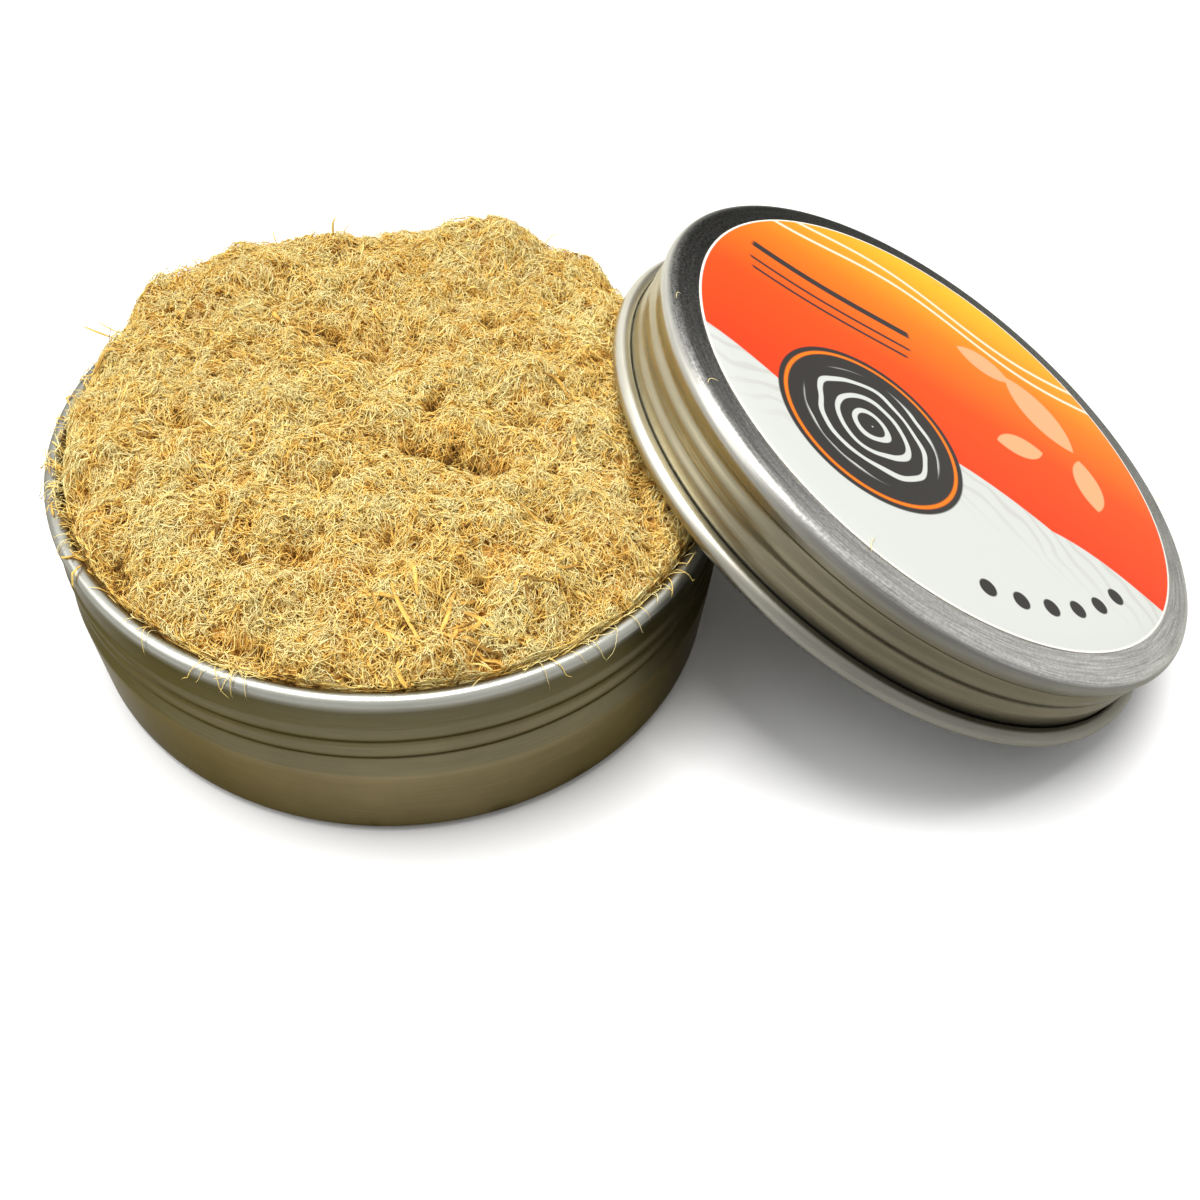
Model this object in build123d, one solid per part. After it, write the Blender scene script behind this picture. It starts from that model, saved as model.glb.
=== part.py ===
from build123d import *
import os
from math import cos, exp, hypot, pi, radians, sin

# Round screw-top tinder tin, open, with its lid leaning on the heaped tinder.
# Millimetres, +Z up. The origin is the middle of the tin's flat bottom, on the surface it stands on.
# The lid lies towards +X, and the view of the photograph looks along +Y and down.

# Drawn aluminium sheet of both halves, and how far cutting shapes run past what they cut
SHEET = 0.35
CUT_PAST = 1.0

# Tin, measured outside
TIN_HEIGHT = 24.2
RIM_RADIUS = 38.8
BODY_RADIUS = 39.5
BOTTOM_ROUND = 1.6
BAND_LOW = 12.0
BAND_HIGH = 14.5
RIM_CURL = 0.9
RIM_CURL_TURN = 290

# Lid, measured outside
LID_HEIGHT = 11.3
SHOULDER_RADIUS = 39.9
SHOULDER_ROUND = 1.7
SKIRT_RADIUS = 39.6
WAIST_DEPTH = 3.0
LID_RADIUS = 41.5
LID_CURL = (LID_RADIUS - SKIRT_RADIUS + SHEET) / 2
LID_CURL_TURN = 300

# Rolled right-hand thread, outwards on the neck and inwards on the skirt
THREAD_PITCH = 3.0
THREAD_DEPTH = 0.35
THREAD_WIDTH = 2.2
THREAD_FOOT = 0.14
THREAD_TURNS = 1.5
THREAD_FADE = 18
TIN_THREAD_START = -150
TIN_THREAD_HEIGHT = 14.9
LID_THREAD_START = -200
LID_THREAD_BELOW = 7.0

# Foam liner inside the lid, and the round label on it
LINER_RADIUS = 38.6
LINER_THICKNESS = 1.0
LINER_GAP = 0.1
LABEL_RADIUS = 35.8
LABEL_THICKNESS = 0.12

# How the lid leans: tilt from level, the way its top faces, and where its top's middle is
LEAN_TILT = 22.0
LEAN_AZIMUTH = 6.7
LID_DISTANCE = 67.2
LID_AZIMUTH = 12.5

# Tinder: room to the metal, its level at the rim, and lumps and hollows as (azimuth, radius, height, spread)
TINDER_GAP = 0.3
TINDER_FLOOR_GAP = 0.05
TINDER_LEVEL = 25.85
TINDER_BACK_RISE = 2.4
TINDER_CROWN = 3.4
TINDER_CROWN_POWER = 6
TINDER_LUMPS = (
    (79, 32, 3.4, 6.0),
    (140, 31, 1.6, 7.0),
    (215, 20, 1.1, 7.0),
    (300, 24, 1.0, 6.5),
    (20, 18, 1.2, 6.0),
    (110, 8, -1.8, 5.0),
    (158, 36, 2.8, 6.0),
    (128, 35, -0.7, 4.5),
    (107, 34, -1.3, 6.0),
    (60, 35, 1.8, 6.0),
    (307, 9, -2.2, 2.6),
    (328, 15, -2.0, 2.6),
    (324, 23, -1.7, 2.6),
    (230, 36, -1.5, 3.0),
    (212, 36, -1.5, 3.0),
    (348, 29, -1.4, 3.0),
    (318, 35, -1.2, 3.0),
    (257, 35, -1.4, 2.6),
    (355, 13, -1.2, 2.4),
    (258, 24, -1.2, 2.4),
    (299, 28, -1.2, 2.4),
)

# Tufts of the heap: a sum of waves, each turned on from the last, and spots of the grid they are drawn on
TUFT_WAVES = 8
TUFT_SPACING = 8.5
TUFT_SPREAD = 0.4
TUFT_HEIGHT = 0.22
TUFT_TURN = 137.5
TINDER_SPOTS = 31
TINDER_SURFACE_TOLERANCE = 0.2


def point_at(radius, azimuth, z):
    return Vector(radius * cos(radians(azimuth)), radius * sin(radians(azimuth)), z)


def lid_top_height():
    # The lid's curl touches the ground at its lowest point, which sets how high the top's middle is.
    tilt = radians(LEAN_TILT)
    return LID_CURL + (LID_RADIUS - LID_CURL) * sin(tilt) + (LID_HEIGHT - LID_CURL) * cos(tilt)


def lid_place():
    # Moves a lid standing upright with the middle of its top at the origin to its leaning place.
    middle = point_at(LID_DISTANCE, LID_AZIMUTH, lid_top_height())
    turned = Location((0, 0, 0), (0, 0, LEAN_AZIMUTH))
    tilted = Location((0, 0, 0), (0, LEAN_TILT, 0))
    turned_back = Location((0, 0, 0), (0, 0, -LEAN_AZIMUTH))
    return Location(middle) * turned * tilted * turned_back


def thread_path(radius, start, z, fade_radius):
    # A helix with a tangent arc at each end. fade_radius bends it off the wall, and 0 leaves it straight.
    helix = Rot(0, 0, start) * Helix(THREAD_PITCH, THREAD_PITCH * THREAD_TURNS, radius, center=(0, 0, z))
    edges = [helix]
    angle = radians(THREAD_FADE)
    for at, way in ((0, -1), (1, 1)):
        point = helix @ at
        along = (helix % at) * way
        inward = Vector(-point.X, -point.Y, 0).normalized()
        if fade_radius:
            end = point + along * (fade_radius * sin(angle)) + inward * (fade_radius * (1 - cos(angle)))
            edges.append(Edge.make_tangent_arc(point, along, end))
        else:
            edges.append(Edge.make_line(point, point + along * (radius * sin(angle))))
    return Wire(edges)


def thread_solid(radius, start, z, outward):
    # The rolled bead: a shallow arch on the wall, standing outwards or inwards, with its foot in the wall.
    way = 1 if outward else -1
    path = thread_path(radius, start, z, radius / 2 if outward else 0)
    origin = path @ 0
    outwards = Vector(origin.X, origin.Y, 0).normalized() * way
    section_plane = Plane(origin, x_dir=outwards, z_dir=path % 0)
    half = THREAD_WIDTH / 2
    arch = ThreePointArc((-THREAD_FOOT, -half), (THREAD_DEPTH, 0), (-THREAD_FOOT, half))
    section = make_face([arch, Line((-THREAD_FOOT, half), (-THREAD_FOOT, -half))])
    return sweep(section_plane * section, path=path, is_frenet=True)


def turned(outline):
    # Revolves a closed outline drawn in the XZ plane into a solid.
    return revolve(Plane.XZ * make_face(outline), Axis.Z)


def tin_shape(inset):
    # The filled outside of the tin, drawn in by inset, up to the middle of its rim curl.
    bottom = inset
    body = BODY_RADIUS - inset
    neck = RIM_RADIUS - inset
    corner = BOTTOM_ROUND - inset
    top = TIN_HEIGHT - RIM_CURL + (CUT_PAST if inset else 0)
    outline = [
        Line((0, bottom), (body - corner, bottom)),
        RadiusArc((body - corner, bottom), (body, bottom + corner), -corner),
        Line((body, bottom + corner), (body, BAND_LOW)),
        Line((body, BAND_LOW), (neck, BAND_HIGH)),
        Line((neck, BAND_HIGH), (neck, top)),
        Line((neck, top), (0, top)),
        Line((0, top), (0, bottom)),
    ]
    return turned(outline)


def curl(centre_radius, centre_z, tube, start, turn):
    # An open roll of sheet round a ring: it starts square to the wall and goes round by turn degrees.
    def spot(radius, angle):
        return (centre_radius + radius * cos(radians(angle)), centre_z + radius * sin(radians(angle)))

    inner = tube - SHEET
    end = start + turn
    middle = start + turn / 2
    outline = [
        ThreePointArc(spot(tube, start), spot(tube, middle), spot(tube, end)),
        Line(spot(tube, end), spot(inner, end)),
        ThreePointArc(spot(inner, end), spot(inner, middle), spot(inner, start)),
        Line(spot(inner, start), spot(tube, start)),
    ]
    return turned(outline)


def make_tin_base():
    outside = tin_shape(0) + thread_solid(RIM_RADIUS, TIN_THREAD_START, TIN_THREAD_HEIGHT, True)
    inside = tin_shape(SHEET) + thread_solid(RIM_RADIUS - SHEET, TIN_THREAD_START, TIN_THREAD_HEIGHT, True)
    rim = curl(RIM_RADIUS - RIM_CURL, TIN_HEIGHT - RIM_CURL, RIM_CURL, 0, RIM_CURL_TURN)
    return outside - inside + rim


def lid_shape(inset):
    # The filled outside of the lid, drawn in by inset, upright with its top's middle at the origin.
    top = -inset
    shoulder = SHOULDER_RADIUS - inset
    skirt = SKIRT_RADIUS - inset
    bend = SHOULDER_ROUND - inset
    bottom = LID_CURL - LID_HEIGHT - (CUT_PAST if inset else 0)
    outline = [
        Line((0, top), (shoulder - bend, top)),
        RadiusArc((shoulder - bend, top), (shoulder, -SHOULDER_ROUND), bend),
        Line((shoulder, -SHOULDER_ROUND), (skirt, -WAIST_DEPTH)),
        Line((skirt, -WAIST_DEPTH), (skirt, bottom)),
        Line((skirt, bottom), (0, bottom)),
        Line((0, bottom), (0, top)),
    ]
    return turned(outline)


def make_tin_lid():
    height = -LID_THREAD_BELOW
    outside = lid_shape(0) - thread_solid(SKIRT_RADIUS, LID_THREAD_START, height, False)
    inside = lid_shape(SHEET) - thread_solid(SKIRT_RADIUS - SHEET, LID_THREAD_START, height, False)
    rim = curl(SKIRT_RADIUS - SHEET + LID_CURL, LID_CURL - LID_HEIGHT, LID_CURL, 180, LID_CURL_TURN)
    return lid_place() * (outside - inside + rim)


def disc(radius, top, thickness):
    return Pos(0, 0, top - thickness / 2) * Cylinder(radius, thickness)


def make_lid_liner():
    return lid_place() * disc(LINER_RADIUS, -SHEET - LINER_GAP, LINER_THICKNESS)


def make_lid_label():
    return lid_place() * disc(LABEL_RADIUS, LABEL_THICKNESS, LABEL_THICKNESS)


def tufts(x, y):
    height = 0
    for wave in range(TUFT_WAVES):
        way = radians(TUFT_TURN * wave)
        spacing = TUFT_SPACING * (1 + TUFT_SPREAD * (wave / (TUFT_WAVES - 1) - 0.5))
        along = (x * cos(way) + y * sin(way)) / spacing
        height += TUFT_HEIGHT * cos(2 * pi * along + wave**2)
    return height


def tinder_top(x, y):
    # Height of the heaped tinder: higher at the back, a flat crown that falls off at the rim, lumps and tufts.
    radius = min(1.0, hypot(x, y) / RIM_RADIUS)
    crown = TINDER_CROWN * (1 - radius**TINDER_CROWN_POWER)
    level = TINDER_LEVEL + TINDER_BACK_RISE * y / RIM_RADIUS + crown
    for azimuth, distance, height, spread in TINDER_LUMPS:
        lump = point_at(distance, azimuth, 0)
        away = hypot(x - lump.X, y - lump.Y)
        level += height * exp(-((away / spread) ** 2))
    return level + tufts(x, y)


def tinder_surface():
    # A smooth surface over the whole mouth, through a square grid of heights that runs past the rim.
    reach = RIM_RADIUS + CUT_PAST
    step = 2 * reach / (TINDER_SPOTS - 1)
    spots = [step * i - reach for i in range(TINDER_SPOTS)]
    grid = [[Vector(x, y, tinder_top(x, y)) for y in spots] for x in spots]
    return Face.make_surface_from_array_of_points(grid, tol=TINDER_SURFACE_TOLERANCE)


def make_tinder_fill():
    # The mass fills the tin up to its rim curl, stands up through the mouth and is pressed down by the lid.
    wide = RIM_RADIUS - SHEET - TINDER_GAP
    mouth = RIM_RADIUS - 2 * RIM_CURL - TINDER_GAP
    shelf = TIN_HEIGHT - 2 * RIM_CURL - TINDER_GAP
    floor = SHEET + TINDER_FLOOR_GAP
    high = 2 * TIN_HEIGHT
    corner = BOTTOM_ROUND
    outline = [
        Line((0, floor), (wide - corner, floor)),
        RadiusArc((wide - corner, floor), (wide, floor + corner), -corner),
        Line((wide, floor + corner), (wide, shelf)),
        Line((wide, shelf), (mouth, shelf)),
        Line((mouth, shelf), (mouth, high)),
        Line((mouth, high), (0, high)),
        Line((0, high), (0, floor)),
    ]
    below = extrude(tinder_surface(), amount=high, dir=(0, 0, -1))
    lid_room = disc(LID_RADIUS + 2 * TINDER_GAP, LID_RADIUS - LID_HEIGHT - TINDER_GAP, LID_RADIUS)
    return turned(outline) & below - lid_place() * lid_room


os.makedirs("parts", exist_ok=True)
pieces = {
    "tin_base": make_tin_base(),
    "tin_lid": make_tin_lid(),
    "lid_liner": make_lid_liner(),
    "lid_label": make_lid_label(),
    "tinder_fill": make_tinder_fill(),
}
for name, piece in pieces.items():
    export_step(piece, f"parts/{name}.step")
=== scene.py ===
from math import cos, pi, radians, sin

import bpy
import numpy as np
from mathutils import Matrix, Vector


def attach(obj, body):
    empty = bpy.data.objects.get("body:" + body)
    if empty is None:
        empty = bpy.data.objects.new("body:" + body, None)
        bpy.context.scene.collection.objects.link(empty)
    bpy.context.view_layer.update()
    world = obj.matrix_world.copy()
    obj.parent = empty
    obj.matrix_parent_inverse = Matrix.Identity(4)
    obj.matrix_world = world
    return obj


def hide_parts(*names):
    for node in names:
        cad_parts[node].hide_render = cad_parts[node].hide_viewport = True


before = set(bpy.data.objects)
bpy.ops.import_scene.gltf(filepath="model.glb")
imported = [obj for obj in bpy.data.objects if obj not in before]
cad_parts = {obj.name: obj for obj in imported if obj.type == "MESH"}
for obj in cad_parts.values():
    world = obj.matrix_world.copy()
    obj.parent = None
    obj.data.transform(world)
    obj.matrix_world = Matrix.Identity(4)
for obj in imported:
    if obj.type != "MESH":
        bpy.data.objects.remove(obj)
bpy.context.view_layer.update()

# Looks of an open round tinder tin with its lid leaning on the heaped tinder.
# Shapes are worked out in millimetres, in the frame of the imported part, and written to meshes in metres.
MM = 0.001
COLUMNS = 512
show = bpy.context.scene.collection.objects.link

# Tin and lid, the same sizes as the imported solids
SHEET = 0.35
TIN_HEIGHT = 24.2
RIM_RADIUS = 38.8
BODY_RADIUS = 39.5
BOTTOM_ROUND = 1.6
BAND_LOW, BAND_HIGH = 12.0, 14.5
RIM_CURL = 0.9
LID_HEIGHT = 11.3
SHOULDER_RADIUS = 39.9
SHOULDER_ROUND = 1.7
SKIRT_RADIUS = 39.6
WAIST_DEPTH = 3.0
LID_RADIUS = 41.5
LID_CURL = (LID_RADIUS - SKIRT_RADIUS + SHEET) / 2
LID_CURL_END = 485
THREAD_PITCH = 3.0
THREAD_DEPTH = 0.35
THREAD_WIDTH = 2.6
THREAD_TURNS = 1.5
THREAD_FADE = 22
TIN_THREAD_SHARE = 0.75
TIN_THREAD_START, TIN_THREAD_HEIGHT = -150, 14.9
LID_THREAD_START, LID_THREAD_BELOW = -200, 7.0
LINER_RADIUS, LINER_THICKNESS, LINER_GAP = 38.6, 1.0, 0.1
LABEL_RADIUS, LABEL_THICKNESS = 35.8, 0.12
LEAN_TILT, LEAN_AZIMUTH = 22.0, 6.7
LID_DISTANCE, LID_AZIMUTH = 67.2, 12.5

# The heap of tinder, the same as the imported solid
TINDER_GAP = 0.3
TINDER_LEVEL = 25.85
TINDER_BACK_RISE = 2.4
TINDER_CROWN = 3.4
MOUTH_RADIUS = RIM_RADIUS - 2 * RIM_CURL - TINDER_GAP
TINDER_LUMPS = (
    (79, 32, 3.4, 6.0), (140, 31, 1.6, 7.0), (215, 20, 1.1, 7.0), (300, 24, 1.0, 6.5),
    (20, 18, 1.2, 6.0), (110, 8, -1.8, 5.0), (158, 36, 2.8, 6.0), (128, 35, -0.7, 4.5),
    (107, 34, -1.3, 6.0), (60, 35, 1.8, 6.0), (307, 9, -2.2, 2.6), (328, 15, -2.0, 2.6),
    (324, 23, -1.7, 2.6), (230, 36, -1.5, 3.0), (212, 36, -1.5, 3.0), (348, 29, -1.4, 3.0),
    (318, 35, -1.2, 3.0), (257, 35, -1.4, 2.6), (355, 13, -1.2, 2.4), (258, 24, -1.2, 2.4),
    (299, 28, -1.2, 2.4),
)
TUFT_WAVES = 8
TUFT_SPACING = 8.5
TUFT_SPREAD = 0.4
TUFT_HEIGHT = 0.22
TUFT_TURN = 137.5
# Points along a fibre of the layers, and along a single stray one
LAYER_POINTS, STRAY_POINTS = 5, 9

# Fine shape of the heap: how far the felt lies below the tips, and how its edge is rounded
FIBRE_STAND = 0.2
EDGE_ROUND = 3.0
EDGE_HEIGHT = TIN_HEIGHT - 0.9
# Hollows between the tufts: (x, y, depth, half length, half width, direction)
TINDER_HOLLOWS = (
    (5.5, -7.3, 1.9, 4.2, 1.1, -12), (12.5, -7.8, 1.5, 3.4, 1.0, -4), (18.8, -13.4, 0.8, 2.2, 1.0, -30),
    (3.7, -0.1, 1.6, 1.1, 0.8, 60), (13.2, -1.2, 0.8, 2.4, 0.8, -10), (-7.9, -34.0, 0.8, 2.8, 0.9, -12),
    (-22.5, -27.8, 0.8, 2.6, 1.2, -52), (-30.4, -19.3, 0.8, 3.2, 1.1, -60), (-4.6, -23.2, 0.9, 2.2, 0.9, 25),
    (27.5, -5.7, 0.7, 4.5, 1.2, -75), (26.1, -23.1, 0.6, 2.8, 0.9, 48), (-10.4, 9.6, 0.8, 3.0, 1.0, 10),
    (-20.5, -9.5, 0.8, 2.6, 0.9, -35), (8.5, 14.5, 0.8, 2.8, 0.8, 20), (-2.5, 23.0, 0.8, 3.2, 0.8, -8),
    (13.5, -24.5, 0.8, 2.4, 0.9, -35), (-14.0, 22.0, 0.7, 2.4, 0.8, 35), (22.0, 10.0, 0.7, 2.6, 0.8, 60),
)
# Splinters that stand out of the heap: (x, y, direction, length, rise, width)
SPLINTERS = (
    (-34.8, 5.6, 172, 4.6, 0.8, 0.5), (-34.6, 6.6, 160, 4.0, 0.4, 0.3), (-15.2, 29.2, 75, 1.2, 2.2, 0.4),
    (-14.2, 29.6, 40, 1.4, 1.8, 0.22), (-22.0, 27.0, 120, 1.6, 1.5, 0.2), (12.4, 31.0, 30, 2.0, 1.6, 0.22),
    (6.5, -35.0, -60, 2.4, 0.9, 0.25), (14.0, -33.0, -20, 3.0, 0.8, 0.3),
)
SPLINTER_TONE = 0.62

# Floor and sky: what lights the object, what is seen, and the distances in metres where the floor goes over
# into the white surround
FLOOR_REACH = 4.0
FLOOR_LIT, FLOOR_SEEN = (0.34, 0.34, 0.335), (0.96, 0.96, 0.96)
FLOOR_FADE = (0.3, 0.8)
FAR_DIM, FAR_SEEN = 0.2, 1.0
SKY_LIGHT = (
    (0.07, (0.3, 0.3, 0.3)), (0.2, (0.08, 0.08, 0.08)),
    (0.45, (0.11, 0.11, 0.114)), (0.85, (0.72, 0.72, 0.72)),
)
# The dark screen that only gloss shows: the way to it, its tone, and the distances of its soft edge
SCREEN_WAY, SCREEN_TONE, SCREEN_EDGE = (0.3, 0.92, 0.27), (0.06, 0.06, 0.06), (0.4, 0.22)

# Tones of the metal up the wall: height above the ground or the lid's top in millimetres, and colour.
# These tones hold painted reflection and painted highlight
# The tin's dark olive wall, darker band and neck are painted reflection of a dark surround; its pale rim top
# is a painted highlight
TIN_TONES = (
    (0.0, (0.145, 0.118, 0.064)), (11.8, (0.165, 0.136, 0.077)), (12.2, (0.118, 0.103, 0.06)),
    (14.4, (0.112, 0.097, 0.057)), (14.8, (0.122, 0.104, 0.061)), (20.0, (0.108, 0.094, 0.055)),
    (22.6, (0.09, 0.081, 0.051)), (23.4, (0.2, 0.195, 0.165)), (24.2, (0.46, 0.46, 0.41)),
)
# The lid's warm golden skirt is painted reflection of the tinder; its pale curl and shoulder are painted
# highlights
LID_TONES = (
    (-11.3, (0.8, 0.77, 0.65)), (-9.2, (0.8, 0.77, 0.65)), (-8.6, (0.57, 0.5, 0.33)),
    (-2.5, (0.58, 0.52, 0.35)), (-1.2, (0.72, 0.7, 0.62)), (0.0, (0.75, 0.74, 0.68)),
)
# The ring of the lid's top: tone, shares of the side and front directions that light it, and the slope and
# start of its level, which is a painted reflection dark on one side of the ring and light on the other, and of
# its brushing
RING_TONE = (0.78, 0.77, 0.73)
RING_LIT = (0.35, -1.2)
RING_REFLECTION, RING_FROST, RING_BRUSHING = (0.59, -0.176), 0.6, (1.8, 0.08)

# The sticker's colours, and its parts in shares of its radius: leaves (x, y, direction, size), dark sweeps
# (height, half width), the seal's middle, the softness of edges, and the dots' step in degrees and distance
ORANGE, PEACH, CREAM = (0.96, 0.21, 0.015), (0.88, 0.42, 0.21), (0.94, 0.76, 0.56)
PALE, PALE_GRAIN = (0.65, 0.67, 0.63), (0.54, 0.53, 0.49)
EDGE_TONE, DARK = (0.9, 0.87, 0.79), (0.036, 0.033, 0.03)
GROUND = (
    (0.3, (0.93, 0.056, 0.015)), (0.55, (0.95, 0.087, 0.013)), (0.75, ORANGE), (0.98, (0.98, 0.49, 0.025)),
)
LEAVES = ((0.46, 0.4, 140, 0.2), (0.66, 0.1, 100, 0.14), (0.2, 0.52, 175, 0.13), (0.34, 0.08, 205, 0.12))
SWEEPS = ((0.36, 0.019), (0.26, 0.008), (0.2, 0.008))
SEAL = (-0.3, -0.36)
SOFT = 0.004
DOT_STEP, DOT_RING = 9, 0.84


# Node making

class Net:
    """A tree of shader nodes, with a short way to add each kind of node that is used here. What goes into a
    node is a number, a colour or another node's output."""

    def __init__(self, tree):
        self.nodes, self.links = tree.nodes, tree.links

    def new(self, kind):
        return self.nodes.new("ShaderNode" + kind)

    def feed(self, value, socket):
        """Links an output to a socket, or gives the socket its value."""
        if isinstance(value, bpy.types.NodeSocket):
            self.links.new(value, socket)
        else:
            socket.default_value = value

    def wear(self, shader, **looks):
        """Feeds the shader's sockets, which are named with low lines for spaces."""
        for label, value in looks.items():
            self.feed(value, shader.inputs[label.replace("_", " ")])

    def math(self, kind, *values):
        """The output of a Math node of one kind."""
        node = self.new("Math")
        node.operation = kind
        for value, socket in zip(values, node.inputs):
            self.feed(value, socket)
        return node.outputs[0]

    def blend(self, share, first, second, kind="MIX"):
        """The output of a colour Mix node: first where share is 0, second where it is 1."""
        node = self.new("Mix")
        node.data_type = "RGBA"
        node.blend_type = kind
        for label, value in (("Factor", share), ("A", first), ("B", second)):
            socket = [s for s in node.inputs if s.name == label and s.enabled][0]
            self.feed((*value, 1) if isinstance(value, tuple) else value, socket)
        return [s for s in node.outputs if s.enabled][0]

    def ramp(self, value, *stops):
        """The output of a colour ramp with stops of (position, colour)."""
        node = self.new("ValToRGB")
        elements = node.color_ramp.elements
        while len(elements) < len(stops):
            elements.new(0.5)
        for element, (position, colour) in zip(elements, stops):
            element.position = position
            element.color = (*colour, 1)
        self.feed(value, node.inputs[0])
        return node.outputs[0]

    def fall(self, value, low, high):
        """0 where value is under low, 1 where it is over high, and smooth between."""
        node = self.new("MapRange")
        node.interpolation_type = "SMOOTHSTEP"
        node.inputs["From Min"].default_value = low
        node.inputs["From Max"].default_value = high
        self.feed(value, node.inputs["Value"])
        return node.outputs["Result"]

    def noise(self, place, scale, detail=2.0, rough=0.5):
        """The value of a noise texture at a place."""
        node = self.new("TexNoise")
        node.inputs["Scale"].default_value = scale
        node.inputs["Detail"].default_value = detail
        node.inputs["Roughness"].default_value = rough
        self.feed(place, node.inputs["Vector"])
        return node.outputs["Fac"]

    def product(self, first, *others):
        """The output of Math nodes that multiply all the values."""
        for other in others:
            first = self.math("MULTIPLY", first, other)
        return first

    def bump(self, height, distance, strength):
        node = self.new("Bump")
        node.inputs["Distance"].default_value = distance
        node.inputs["Strength"].default_value = strength
        self.feed(height, node.inputs["Height"])
        return node.outputs["Normal"]

    def split(self, vector):
        """The three numbers of a vector."""
        node = self.new("SeparateXYZ")
        self.feed(vector, node.inputs[0])
        return tuple(node.outputs)

    def join(self, *values):
        """A vector of three numbers, or a grey colour of one."""
        node = self.new("CombineXYZ")
        for value, socket in zip(values if len(values) == 3 else values * 3, node.inputs):
            self.feed(value, socket)
        return node.outputs[0]

    def object_place(self, leaning):
        """Object coordinates, turned into the level lid's own frame for a piece of the leaning lid."""
        place = self.new("TexCoord").outputs["Object"]
        if not leaning:
            return place
        mapping = self.new("Mapping")
        mapping.vector_type = "TEXTURE"
        mapping.inputs["Location"].default_value = lid_top_middle() * MM
        mapping.inputs["Rotation"].default_value = lid_turn().to_euler()
        self.feed(place, mapping.inputs["Vector"])
        return mapping.outputs["Vector"]

    def background_rays(self):
        """One for rays that show the background: from the camera, by gloss or through glass."""
        path = self.new("LightPath").outputs
        seen = self.math("MAXIMUM", path["Is Camera Ray"], path["Is Glossy Ray"])
        return self.math("MAXIMUM", seen, path["Is Transmission Ray"])


# Camera, floor and lights

def set_camera():
    """The camera stands where the photograph was taken: place, right, up and backward directions."""
    camera = bpy.data.objects.new("camera", bpy.data.cameras.new("camera"))
    camera.data.sensor_width = 36.0
    camera.data.lens = 30.726
    camera.data.clip_start = 0.005
    camera.data.clip_end = 20.0
    right = Vector((0.99125, 0.10139, 0.08447)).normalized()
    backward = Vector((0.0, -0.64005, 0.76833)).normalized()
    up = backward.cross(right).normalized()
    right = up.cross(backward)
    turn = Matrix((right, up, backward)).transposed().to_4x4()
    camera.matrix_world = Matrix.Translation(Vector((25.8541, -90.0167, 105.8541)) * MM) @ turn
    show(camera)
    bpy.context.scene.camera = camera


def add_lamp(name, place, aim, size, power, colour):
    """A square soft light that faces a point of the object."""
    light = bpy.data.lights.new(name, "AREA")
    light.shape, light.size, light.energy, light.color = "SQUARE", size, power, colour
    lamp = bpy.data.objects.new(name, light)
    lamp.location = place
    lamp.rotation_euler = (Vector(aim) - Vector(place)).to_track_quat("-Z", "Y").to_euler()
    show(lamp)


def set_stage():
    """A white floor that keeps the shadow and goes over into a white surround, a dim sky, and soft lights."""
    mesh = bpy.data.meshes.new("floor")
    corners = [(x * FLOOR_REACH, y * FLOOR_REACH, 0) for x, y in ((-1, -1), (1, -1), (1, 1), (-1, 1))]
    mesh.from_pydata(corners, [], [(0, 1, 2, 3)])
    floor = bpy.data.objects.new("floor", mesh)
    show(floor)
    material, net, shader = new_material("pale_floor")
    net.nodes.remove(shader)
    seen = net.background_rays()
    matt = net.new("BsdfDiffuse")
    net.feed(net.blend(seen, FLOOR_LIT, FLOOR_SEEN), matt.inputs["Color"])
    far = net.new("Emission")
    net.feed(net.math("MULTIPLY_ADD", seen, FAR_SEEN - FAR_DIM, FAR_DIM), far.inputs["Strength"])
    distance = net.new("VectorMath")
    distance.operation = "LENGTH"
    net.feed(net.object_place(False), distance.inputs[0])
    mix = net.new("MixShader")
    net.feed(net.fall(distance.outputs["Value"], *FLOOR_FADE), mix.inputs["Fac"])
    net.feed(matt.outputs[0], mix.inputs[1])
    net.feed(far.outputs[0], mix.inputs[2])
    net.feed(mix.outputs[0], net.nodes["Material Output"].inputs["Surface"])
    mesh.materials.append(material)

    # The sky lights the scene dimly. What is seen of it is white, with a dark screen for gloss
    world = bpy.data.worlds.new("studio")
    bpy.context.scene.world = world
    world.use_nodes = True
    net = Net(world.node_tree)
    direction = net.new("TexCoord").outputs["Generated"]
    dim = net.ramp(net.split(direction)[2], *SKY_LIGHT)
    aim = net.new("VectorMath")
    aim.operation = "DISTANCE"
    aim.inputs[1].default_value = Vector(SCREEN_WAY).normalized()
    net.feed(direction, aim.inputs[0])
    glossy = net.new("LightPath").outputs["Is Glossy Ray"]
    screen = net.product(glossy, net.fall(aim.outputs["Value"], *SCREEN_EDGE))
    shown = net.blend(screen, (1.0, 1.0, 1.0), SCREEN_TONE)
    background = net.nodes["Background"].inputs
    net.feed(net.blend(net.background_rays(), dim, shown), background["Color"])
    background["Strength"].default_value = 1.0

    add_lamp("key_light", (-0.12, 0.14, 1.27), (0.02, 0, 0.02), 0.6, 14.6, (1.0, 0.99, 0.97))
    add_lamp("fill_light", (-0.75, -0.1, 1.0), (0.04, 0, 0.02), 0.9, 5.6, (0.98, 0.99, 1.0))


# Mesh making

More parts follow.
